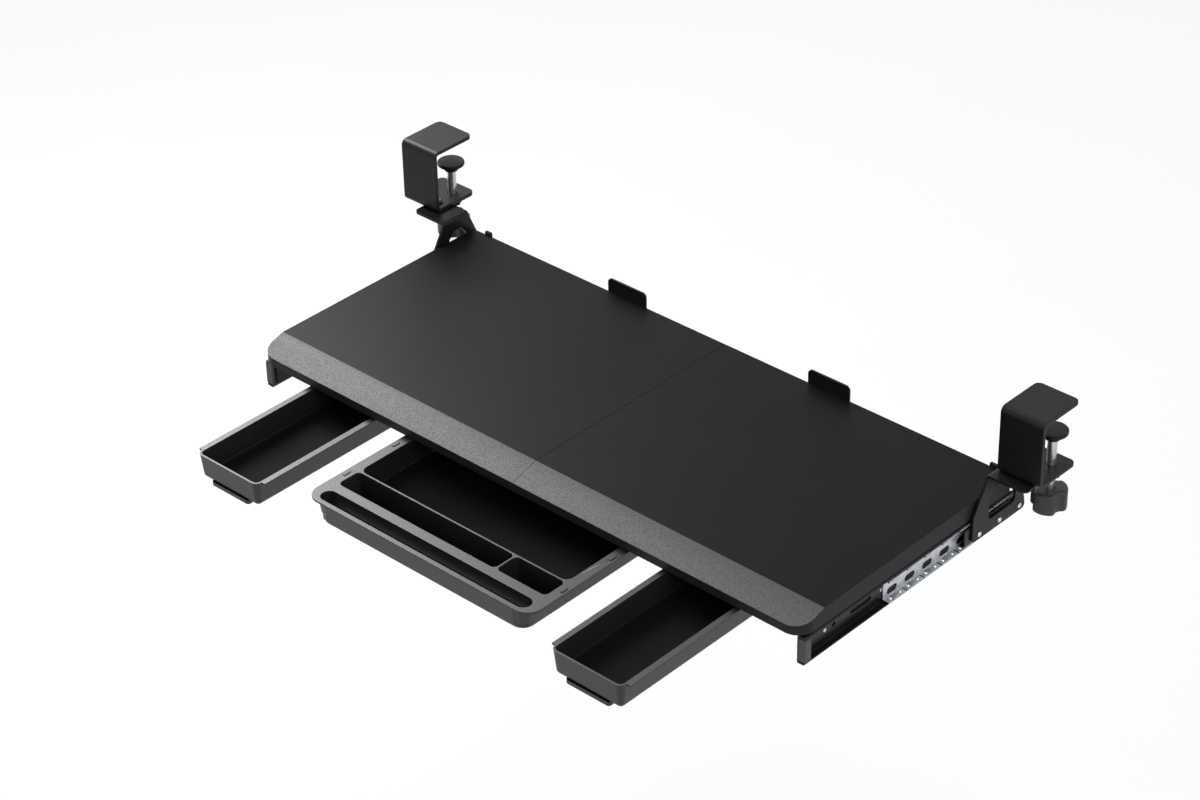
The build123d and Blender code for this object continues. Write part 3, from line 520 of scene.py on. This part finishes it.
for node, name in drawerLook["names"].items():
    if node == "drawer_centre":
        walls = [wallPiece(cornerWall, sign) for sign in sides.values()]
        drawer = soften(node, name, drawerLook["edge"], added=walls, lowestMm=drawerLook["rim"])
    else:
        drawer = soften(node, name, drawerLook["edge"])
    # the drawers' floors take the darker finish: painted shade inside the drawers
    drawer.data.materials.append(finishes["drawerFloorPaintedShade"])
    for face in drawer.data.polygons:
        if face.normal.z > facingUp and face.center.z < drawerLook["floor"] * mm:
            face.material_index = 1
print("sheet metal, boards, knobs and drawers made")


# Geometry Nodes trees for balls, for heads on points, and for the screw thread
def newTree(name, sockets):
    tree = bpy.data.node_groups.new(name, "GeometryNodeTree")
    tree.interface.new_socket("Geometry", in_out="INPUT", socket_type="NodeSocketGeometry")
    for label, kind, value in sockets:
        socket = tree.interface.new_socket(label, in_out="INPUT", socket_type="NodeSocket" + kind)
        if value is not None:
            socket.default_value = value
    tree.interface.new_socket("Finish", in_out="INPUT", socket_type="NodeSocketMaterial")
    tree.interface.new_socket("Geometry", in_out="OUTPUT", socket_type="NodeSocketGeometry")
    given = addNode(tree, "NodeGroupInput").outputs
    return tree, given


def closeTree(tree, given, shape):
    real = addNode(tree, "GeometryNodeRealizeInstances", {"Geometry": shape})
    coated = addNode(tree, "GeometryNodeSetMaterial", {"Geometry": real, "Material": given["Finish"]})
    addNode(tree, "NodeGroupOutput", {"Geometry": coated})
    return tree


def grow(name, base, tree, values):  # runs a tree on a base mesh and keeps the plain result
    holder = newObject(name + "Base", base)
    modifier = holder.modifiers.new("grow", "NODES")
    modifier.node_group = tree
    for item in tree.interface.items_tree:
        if item.in_out == "INPUT" and item.name in values:
            modifier[item.identifier] = values[item.name]
    return baked(holder, name)


def pointMesh(name, points):
    mesh = bpy.data.meshes.new(name)
    mesh.from_pydata([Vector(p) * mm for p in points], [], [])
    return mesh


def ballTree():
    tree, given = newTree("ballsOnPoints", [
        ("Radius", "Float", 0.002), ("Segments", "Int", 20), ("Rings", "Int", 12)])
    ball = addNode(tree, "GeometryNodeMeshUVSphere", {
        "Radius": given["Radius"], "Segments": given["Segments"], "Rings": given["Rings"]})
    spread = addNode(tree, "GeometryNodeInstanceOnPoints", {"Points": given["Geometry"], "Instance": ball})
    return closeTree(tree, given, spread)


def headTree():  # one head on each point, all facing one way, each turned by chance about its own axis
    tree, given = newTree("headsOnPoints", [
        ("Head", "Object", None), ("Facing", "Vector", None), ("Most Turn", "Float", math.pi),
        ("Seed", "Int", 4)])
    info = addNode(tree, "GeometryNodeObjectInfo", {"Object": given["Head"]})
    chance = addNode(tree, "FunctionNodeRandomValue", {
        "Max": given["Most Turn"], "Seed": given["Seed"]}, data_type="FLOAT")
    turn = addNode(tree, "ShaderNodeCombineXYZ", {"Z": chance})
    spread = addNode(tree, "GeometryNodeInstanceOnPoints", {
        "Points": given["Geometry"], "Instance": info.outputs["Geometry"], "Rotation": given["Facing"]})
    spun = addNode(tree, "GeometryNodeRotateInstances", {"Instances": spread, "Rotation": turn})
    return closeTree(tree, given, spun)


def threadTree():  # a ridge wound round a rod, with the rod's core inside it
    tree, given = newTree("screwThread", [
        ("Pitch", "Float", 0.0015), ("Length", "Float", 0.07), ("Core Radius", "Float", 0.0042),
        ("Ridge", "Float", 0.0008), ("Steps", "Int", 24)])
    turns = addNode(tree, "ShaderNodeMath", {0: given["Length"], 1: given["Pitch"]}, operation="DIVIDE")
    spiral = addNode(tree, "GeometryNodeCurveSpiral", {
        "Resolution": given["Steps"], "Rotations": turns, "Start Radius": given["Core Radius"],
        "End Radius": given["Core Radius"], "Height": given["Length"]})
    upright = addNode(tree, "GeometryNodeSetCurveNormal", {"Curve": spiral}, mode="Z_UP")
    ridge = addNode(tree, "GeometryNodeCurvePrimitiveCircle", {"Resolution": 3, "Radius": given["Ridge"]})
    wound = addNode(tree, "GeometryNodeCurveToMesh", {
        "Curve": upright, "Profile Curve": ridge, "Fill Caps": True})
    both = addNode(tree, "GeometryNodeJoinGeometry")
    tree.links.new(wound.outputs[0], both.inputs[0])
    tree.links.new(given["Geometry"], both.inputs[0])
    return closeTree(tree, given, both)


turning = {"steps": 32, "merge": 0.0005}  # faces round a turned piece, and merging on its axis in mm


def lathe(name, profile):  # (radius, height) pairs in mm, closed on the axis
    shell = bmesh.new()
    corners = [shell.verts.new((r * mm, 0, h * mm)) for r, h in profile]
    edges = [shell.edges.new(pair) for pair in zip(corners, corners[1:])]
    bmesh.ops.spin(shell, geom=corners + edges, cent=(0, 0, 0), axis=(0, 0, 1), angle=2 * math.pi,
                   steps=turning["steps"], use_duplicate=False)
    bmesh.ops.remove_doubles(shell, verts=shell.verts, dist=turning["merge"] * mm)
    bmesh.ops.recalc_face_normals(shell, faces=shell.faces)
    mesh = bpy.data.meshes.new(name)
    shell.to_mesh(mesh)
    shell.free()
    return mesh


def crossCut(name, mesh, recess):  # a cross recess sunk into a head from above
    head = newObject(name, mesh)
    cutter = bmesh.new()
    tall = recess["top"] - recess["foot"]
    middle = (recess["foot"] + recess["top"]) / 2 * mm
    for turn in (0, math.pi / 2):
        size = Matrix.Diagonal((recess["reach"] * 2 * mm, recess["arm"] * mm, tall * mm, 1))
        place = Matrix.Translation((0, 0, middle)) @ Matrix.Rotation(turn, 4, "Z") @ size
        made = bmesh.ops.create_cube(cutter, size=1, matrix=place)
        for v in made["verts"]:
            if v.co.z < middle:
                v.co.x *= recess["narrowing"]
                v.co.y *= recess["narrowing"]
    cutterMesh = bpy.data.meshes.new(name + "Cross")
    cutter.to_mesh(cutterMesh)
    cutter.free()
    cutObject = newObject(name + "Cross", cutterMesh)
    cut = head.modifiers.new("cross", "BOOLEAN")
    cut.operation = "DIFFERENCE"
    cut.solver = "EXACT"
    cut.use_self = True
    cut.object = cutObject
    result = baked(head, name)
    bpy.data.objects.remove(cutObject)
    result.shade_smooth()
    return newObject(name, result)


balls = ballTree()
heads = headTree()
thread = threadTree()

# Ball slides
cage = {  # in mm; its blank is cut flat, then folded to a channel
    "segments": 7, "front": -148.75, "rear": 27.2, "level": -122.0, "web": 333.0, "flange": 11.25,
    "bend": 0.8, "bendSteps": 5, "edge": 340.2, "sheet": 0.8,
    "windowLength": 14.4, "windowHeight": 7.2, "windowOffset": 5.7, "windowSteps": 8,
    "slotWidth": 1.6, "slotLength": 5.6, "slotCorner": (0.5, 0.4),
    "pocketSide": 337.0, "pocketStep": 6.7, "pocketRadius": 2.1, "pocketSteps": 24, "ballRadius": 2.0,
    "crimpLength": 1.4, "crimpWidth": 0.9, "crimpReach": 3.1, "crimpShifts": (-1.0, 1.3), "merge": 0.001,
}
cage["pitch"] = (cage["rear"] - cage["front"]) / cage["segments"]
cage["middles"] = [cage["rear"] - cage["pitch"] * (i + 0.5) for i in range(cage["segments"])]
cage["straight"] = cage["flange"] - cage["bend"]
cage["arc"] = math.pi / 2 * cage["bend"]
cage["half"] = cage["straight"] + cage["arc"] + cage["edge"] - cage["web"] - cage["bend"]
cage["pocketAcross"] = cage["straight"] + cage["arc"] + cage["pocketSide"] - cage["web"] - cage["bend"]


def ovalPoints(across, along, length, height, steps):  # a slot with round ends, in mm
    r = height / 2
    run = length / 2 - r
    points = []
    for start, shift in ((-math.pi / 2, run), (math.pi / 2, -run)):
        for i in range(steps + 1):
            a = start + math.pi * i / steps
            points.append((across + r * math.sin(a), along + shift + r * math.cos(a)))
    return points


def cageOutline(look):  # the flat blank's edge, with a slot at each seam between segments
    half, front, rear = look["half"], look["front"], look["rear"]
    inner = half - look["slotLength"]
    wide, long = look["slotCorner"]
    seams = sorted(m + look["pitch"] / 2 for m in look["middles"][1:])
    right = [(half, front)]
    for seam in seams:
        low, high = seam - look["slotWidth"] / 2, seam + look["slotWidth"] / 2
        right += [(half, low), (inner + wide, low), (inner, low + long),
                  (inner, high - long), (inner + wide, high), (half, high)]
    right.append((half, rear))
    return right + [(-u, v) for u, v in reversed(right)]


def foldedPoint(look, across, along, sign):  # a point of the flat blank, folded to the channel
    u, turn = abs(across), 1 if across > 0 else -1
    if u <= look["straight"]:
        x, z = look["web"], u
    elif u <= look["straight"] + look["arc"]:
        a = (u - look["straight"]) / look["bend"]
        x = look["web"] + look["bend"] * (1 - math.cos(a))
        z = look["straight"] + look["bend"] * math.sin(a)
    else:
        x, z = look["web"] + look["bend"] + u - look["straight"] - look["arc"], look["flange"]
    return Vector((sign * x, along, look["level"] + turn * z)) * mm


def cageLoops(look):  # the blank's outline, then its windows, ball pockets and the crimps beside them
    loops = [cageOutline(look)]
    r, steps = look["pocketRadius"], look["pocketSteps"]
    halfWide, halfLong = look["crimpWidth"] / 2, look["crimpLength"] / 2
    angles = [2 * math.pi * k / steps for k in range(steps)]
    rectangle = ((-1, -1), (1, -1), (1, 1), (-1, 1))
    for middle in look["middles"]:
        for turn in (-1, 1):
            loops.append(ovalPoints(turn * look["windowOffset"], middle, look["windowLength"],
                                    look["windowHeight"], look["windowSteps"]))
            for step in (-1, 1):
                across, along = turn * look["pocketAcross"], middle + step * look["pocketStep"]
                loops.append([(across + r * math.cos(a), along + r * math.sin(a)) for a in angles])
                crimp = along - step * look["crimpReach"]
                for shift in look["crimpShifts"]:
                    u = across + turn * shift
                    loops.append([(u + i * halfWide, crimp + j * halfLong) for i, j in rectangle])
    return loops


def cageMesh(name, look, sign):  # the blank is filled flat in mm, folded, and given its thickness
    flat = bpy.data.curves.new(name + "Blank", "CURVE")
    flat.dimensions = "2D"
    flat.fill_mode = "BOTH"
    for loop in cageLoops(look):
        line = flat.splines.new("POLY")
        line.points.add(len(loop) - 1)
        for point, (u, v) in zip(line.points, loop):
            point.co = (u, v, 0, 1)
        line.use_cyclic_u = True
    blank = baked(newObject(name + "Blank", flat), name)
    shell = bmesh.new()
    shell.from_mesh(blank)
    bmesh.ops.remove_doubles(shell, verts=shell.verts, dist=look["merge"])
    for turn in (-1, 1):
        for step in range(look["bendSteps"] + 1):
            cutAt = turn * (look["straight"] + look["arc"] * step / look["bendSteps"])
            bmesh.ops.bisect_plane(shell, geom=shell.verts[:] + shell.edges[:] + shell.faces[:],
                                   plane_co=(cutAt, 0, 0), plane_no=(1, 0, 0))
    for v in shell.verts:
        v.co = foldedPoint(look, v.co.x, v.co.y, sign)
    bmesh.ops.recalc_face_normals(shell, faces=shell.faces)
    shell.to_mesh(blank)
    shell.free()
    holder = newObject(name + "Sheet", blank)
    wall = holder.modifiers.new("wall", "SOLIDIFY")
    wall.thickness = look["sheet"] * mm
    wall.offset = 0
    return baked(holder, name)


for side, sign in sides.items():
    tag = side.title()
    settle("ballCage" + tag, cageMesh("ballCage" + tag, cage, sign), f"ball_cage_{side}")
    places = [(sign * cage["pocketSide"], middle + step * cage["pocketStep"],
               cage["level"] + turn * cage["flange"])
              for middle in cage["middles"] for step in (-1, 1) for turn in (-1, 1)]
    mesh = grow("cageBalls" + tag, pointMesh("places", places), balls, {
        "Radius": cage["ballRadius"] * mm, "Finish": finishes["polishedBallSteel"]})
    settle("cageBalls" + tag, mesh, f"balls_{side}", angle=60)
print("ball slides made")

# Clamp screws
clampScrew = {  # in mm; the thread stops threadEnd short of the core's foot and shoulder
    "side": 377.0, "reach": 34.0, "tip": -29.0, "shoulder": -35.3, "foot": -105.0, "tipRadius": 4.0,
    "coreRadius": 4.25, "crest": 5.0, "pitch": 1.5, "threadEnd": 0.6, "footEdge": 0.5, "collar": 0.3,
    "tipEdge": 0.4,
}


def rodMesh(name, look):  # the plain core about Z, for the thread to be wound on
    top, shoulder, foot = look["tip"], look["shoulder"], look["foot"]
    tip, core = look["tipRadius"], look["coreRadius"]
    footEdge, collar, tipEdge = look["footEdge"], look["collar"], look["tipEdge"]
    return lathe(name, [
        (0, foot), (core - footEdge, foot), (core, foot + footEdge), (core, shoulder - footEdge),
        (core + collar, shoulder), (tip, shoulder), (tip, top - tipEdge), (tip - tipEdge, top), (0, top)])


ridge = clampScrew["crest"] - clampScrew["coreRadius"]
threadFoot = clampScrew["foot"] + clampScrew["threadEnd"]
threadLength = clampScrew["shoulder"] - clampScrew["threadEnd"] - threadFoot
for side, sign in sides.items():
    rod = rodMesh("rod", clampScrew)
    rod.transform(Matrix.Translation((0, 0, -threadFoot * mm)))
    mesh = grow("clampScrew" + side.title(), rod, thread, {
        "Pitch": clampScrew["pitch"] * mm, "Length": threadLength * mm,
        "Core Radius": clampScrew["coreRadius"] * mm, "Ridge": ridge * mm,
        "Finish": finishes["zincPlatedFastener"]})
    place = Vector((sign * clampScrew["side"], clampScrew["reach"], threadFoot)) * mm
    mesh.transform(Matrix.Translation(place))
    settle("clampScrew" + side.title(), mesh, f"clamp_screw_{side}", angle=35)
print("clamp screws made")

# Screws and rivets, in mm; a profile's pairs are shares of the head's radius and height
panHead = {
    "radius": 4.0, "height": 2.2, "shank": 2.0, "length": 13.0, "point": 0.5, "pointRise": 0.3, "taper": 3.0,
    "profile": [(1, 0), (1, 0.35), (0.96, 0.62), (0.82, 0.86), (0.55, 0.97), (0, 1)],
    "recess": {"reach": 2.2, "arm": 0.85, "foot": 0.9, "top": 2.6, "narrowing": 0.55},
}
flatHead = {
    "radius": 3.5, "height": 2.5, "shank": 1.75, "length": 11.5, "point": 0.4, "pointRise": 0.3, "taper": 2.5,
    "profile": [(0.98, 0.8), (1, 0.9), (0.97, 1), (0, 1)],
    "recess": {"reach": 2.0, "arm": 0.8, "foot": 1.2, "top": 2.9, "narrowing": 0.55},
}
rivet = {  # the dimple's radii are in mm
    "radius": 2.5, "height": 1.1, "shank": 1.9, "long": 3.7, "short": 2.7,
    "profile": [(1, 0), (1, 0.3), (0.86, 0.72), (0.55, 1)], "dimple": [(1.0, 1), (0.8, 0.8), (0, 0.7)],
}


def screwObject(name, look):
    r, h, foot = look["radius"], look["height"], -look["length"]
    shank = [(0, foot), (look["point"], foot + look["pointRise"]), (look["shank"], foot + look["taper"]),
             (look["shank"], 0)]
    head = [(r * across, h * up) for across, up in look["profile"]]
    return crossCut(name, lathe(name, shank + head), look["recess"])


def rivetObject(name, length):
    r, h = rivet["radius"], rivet["height"]
    head = [(r * across, h * up) for across, up in rivet["profile"]]
    dimple = [(across, h * up) for across, up in rivet["dimple"]]
    shank = [(0, -length), (rivet["shank"], -length), (rivet["shank"], 0)]
    return newObject(name, lathe(name, shank + head + dimple))


def placeHeads(name, node, head, places, facing, seed):
    mesh = grow(name, pointMesh(name + "Places", places), heads, {
        "Head": head, "Facing": facing, "Seed": seed, "Finish": finishes[finishOfSlot[slotOfNode[node]]]})
    return settle(name, mesh, node, angle=35)


panObject = screwObject("panHead", panHead)
flatObject = screwObject("flatHead", flatHead)
longRivet = rivetObject("longRivet", rivet["long"])
shortRivet = rivetObject("shortRivet", rivet["short"])
railRivets = [-228.0 + 78.0 * i for i in range(4)]
bracketFront, bracketDepth = -34, 79
slideRivets = [bracketFront + bracketDepth * share for share in (0.13, 0.51, 0.89)]
boardRear, boardDepth = 26, 296
headPlaces = {  # across, along Y and level, in mm; the left side mirrors the right one
    "angleScrews": [(321, reach + 12, -107.0) for reach in railRivets],
    "railScrews": [(x, reach, -106.7) for x in (278.5, 173.5, 149.1) for reach in (-245.0, -39.38)],
    "stopScrews": [(x, 28.0, -96.5) for x in (113.0, 143.0)],
    "slideRivets": [(344.3, reach, -124.0) for reach in slideRivets],
    "angleRivets": [(329.5, reach, -122.0) for reach in railRivets],
    "joiningScrews": [(x, boardRear - boardDepth * share, -103.0)
                      for x in (-32.0, -12.8, 12.8, 32.0) for share in (0.088, 0.73)],
}
down, rearward, sideways = (math.pi, 0, 0), (-math.pi / 2, 0, 0), math.pi / 2
for side, sign in sides.items():
    outward, inward = (0, sign * sideways, 0), (0, -sign * sideways, 0)
    for kind, node, head, facing, seed in (
            ("angleScrews", "angle_screws", panObject, down, 3),
            ("railScrews", "rail_screws", panObject, down, 5),
            ("stopScrews", "stop_screws", panObject, rearward, 7),
            ("slideRivets", "slide_rivets", longRivet, outward, 2),
            ("angleRivets", "angle_rivets", shortRivet, inward, 2)):
        places = [(sign * x, y, z) for x, y, z in headPlaces[kind]]
        placeHeads(kind + side.title(), f"{node}_{side}", head, places, facing, seed)
placeHeads("joiningScrews", "joining_screws", flatObject, headPlaces["joiningScrews"], down, 9)
for model in (panObject, flatObject, longRivet, shortRivet):
    bpy.data.objects.remove(model)
print("screws and rivets made")

# Studio
studio = {
    "floorLevel": -0.62, "floorSize": 40.0, "paper": ("#f4f5f6", "#eeeff0"), "paperCloud": 300,
    "paperRough": 0.9, "worldFill": 0.4, "cameraShare": 0.86,
    "lamps": [  # name, place, aim, width, height, watts
        ("leftSoftbox", (-1.3, 0.15, 0.95), (-0.3, -0.15, -0.09), 0.9, 0.8, 34),
        ("rightFill", (2.4, -0.9, 0.9), (0, -0.1, -0.1), 1.4, 1.2, 20),
        ("topBank", (0.2, -0.5, 2.6), (0, -0.1, -0.1), 1.8, 1.2, 6),
    ],
}


def seenShare(tree):  # 1 for what the camera, a reflection or glass shows, 0 for what lights the object
    ray = addNode(tree, "ShaderNodeLightPath")
    shown = addNode(tree, "ShaderNodeMath", {
        0: ray.outputs["Is Camera Ray"], 1: ray.outputs["Is Glossy Ray"]}, operation="MAXIMUM")
    return addNode(tree, "ShaderNodeMath", {
        0: shown, 1: ray.outputs["Is Transmission Ray"]}, operation="MAXIMUM")


def buildFloor(look):  # matt paper, so pale that only the object's soft shadow shows on it
    half, z = look["floorSize"] / 2, look["floorLevel"]
    mesh = bpy.data.meshes.new("studioFloor")
    corners = [(-half, -half, z), (half, -half, z), (half, half, z), (-half, half, z)]
    mesh.from_pydata(corners, [], [(0, 1, 2, 3)])
    floor = newObject("studioFloor", mesh)
    material, tree, shader, where = newFinish("paperFloor")
    cloud = addNode(tree, "ShaderNodeTexNoise", {
        "Vector": where, "Scale": 1 / (look["paperCloud"] * mm), "Detail": 2})
    paleTone, greyTone = (fromHex(tone) for tone in look["paper"])
    fill(tree, shader, {
        "Base Color": addNode(tree, "ShaderNodeMix", {
            "Factor": addNode(tree, "ShaderNodeMapRange", {"Value": cloud, **span}),
            "A": paleTone, "B": greyTone}, data_type="RGBA"),
        "Roughness": look["paperRough"],
    })
    glow = addNode(tree, "ShaderNodeEmission", {"Color": (1, 1, 1, 1), "Strength": 1.0})
    share = addNode(tree, "ShaderNodeMath", {
        0: seenShare(tree), 1: look["cameraShare"]}, operation="MULTIPLY")
    blend = addNode(tree, "ShaderNodeMixShader", {0: share, 1: shader, 2: glow})
    fill(tree, tree.nodes["Material Output"], {"Surface": blend})
    mesh.materials.append(material)


def buildLight(look):  # a dim white surround and three soft lamps
    world = bpy.data.worlds.new("paleStudio")
    scene.world = world
    world.use_nodes = True
    tree = world.node_tree
    level = addNode(tree, "ShaderNodeMapRange", {"Value": seenShare(tree), "To Min": look["worldFill"]})
    fill(tree, tree.nodes["Background"], {"Strength": level, "Color": (1, 1, 1, 1)})
    for name, place, aim, width, height, watts in look["lamps"]:
        lamp = bpy.data.lights.new(name, "AREA")
        lamp.shape = "RECTANGLE"
        lamp.size, lamp.size_y, lamp.energy = width, height, watts
        holder = newObject(name, lamp)
        holder.location = place
        holder.rotation_mode = "QUATERNION"
        holder.rotation_quaternion = (Vector(aim) - Vector(place)).to_track_quat("-Z", "Y")


buildFloor(studio)
buildLight(studio)

# Camera
view = {  # metres, degrees and millimetres, fitted to the photograph
    "place": (1.7066, -1.9641, 1.5532), "azimuth": 43.276, "elevation": 33.017, "roll": -1.216, "lens": 96.18,
    "sensor": 36,
}
a, e, t = (math.radians(view[k]) for k in ("azimuth", "elevation", "roll"))
ahead = Vector((-math.sin(a) * math.cos(e), math.cos(a) * math.cos(e), -math.sin(e)))
level = Vector((math.cos(a), math.sin(a), 0))
above = level.cross(ahead)
xAxis = math.cos(t) * level + math.sin(t) * above
yAxis = -math.sin(t) * level + math.cos(t) * above
lensData = bpy.data.cameras.new("photoCamera")
lensData.lens = view["lens"]
lensData.sensor_width = view["sensor"]
lensData.sensor_fit = "HORIZONTAL"
camera = newObject("photoCamera", lensData)
turned = Matrix((xAxis, yAxis, -ahead)).transposed().to_4x4()
camera.matrix_world = Matrix.Translation(view["place"]) @ turned
scene.camera = camera
scene.view_settings.view_transform = "Standard"
print("studio and camera set")
